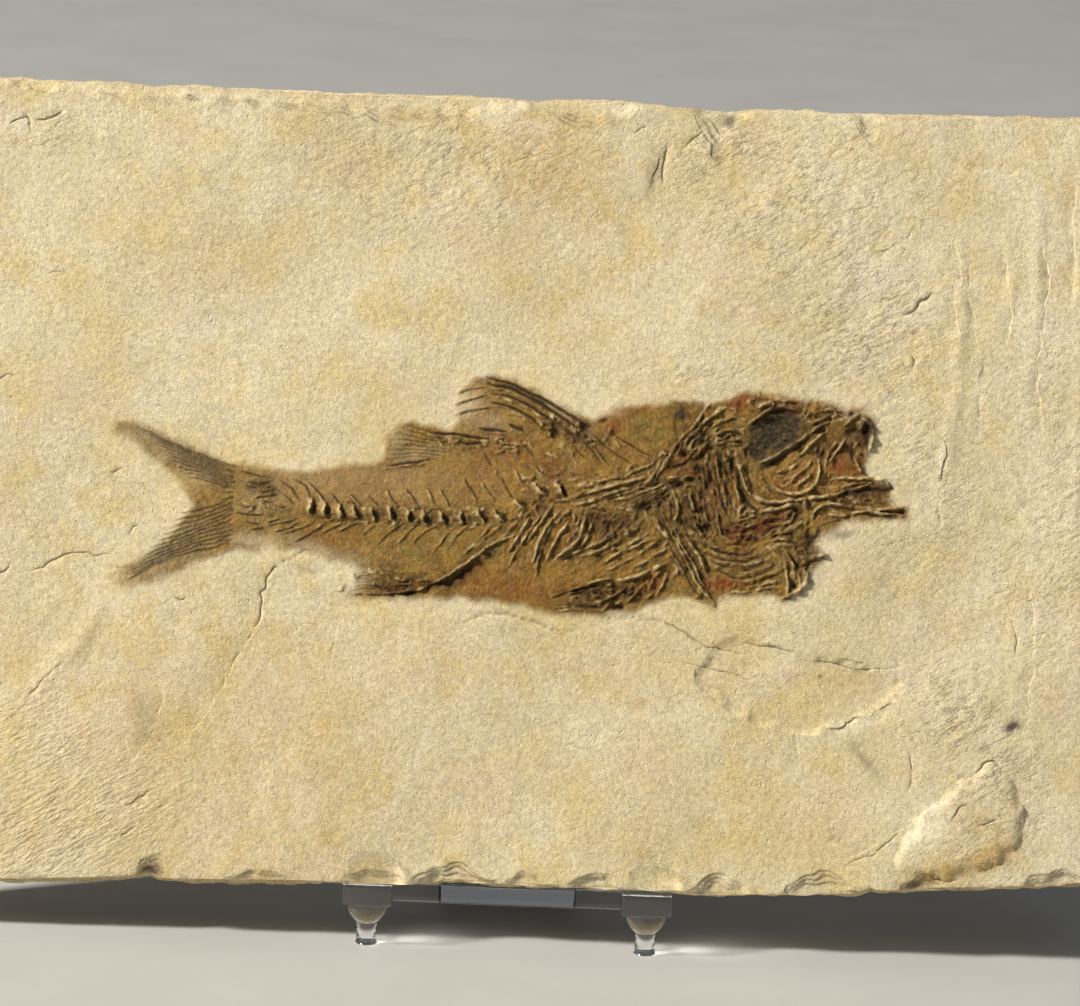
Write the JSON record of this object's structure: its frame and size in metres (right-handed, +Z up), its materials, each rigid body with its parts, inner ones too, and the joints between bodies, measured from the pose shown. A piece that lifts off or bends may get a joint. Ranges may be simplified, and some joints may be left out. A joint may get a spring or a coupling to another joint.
{
  "type": "fossil fish slab on a display stand",
  "caption": "Rectangular limestone slab with a petrified bony fish in low relief, leaning back on a small clear easel with shelf arms, lips, peg feet and a backrest.",
  "frame": {"origin": "centre of the whole object's box, on the ground that the stand's feet rest on", "axes": "+X along the slab to the fish's snout, +Y to the back where the slab leans, +Z up"},
  "size_m": [0.1552, 0.0388, 0.1044],
  "materials": {
    "limestone": "matte",
    "fossil_bone": "matte",
    "clear_acrylic": "gloss"
  },
  "bodies": {
    "root": {"limestone_slab": "limestone", "fossil_fish": "fossil_bone", "display_stand": "clear_acrylic"}
  },
  "joints": []
}
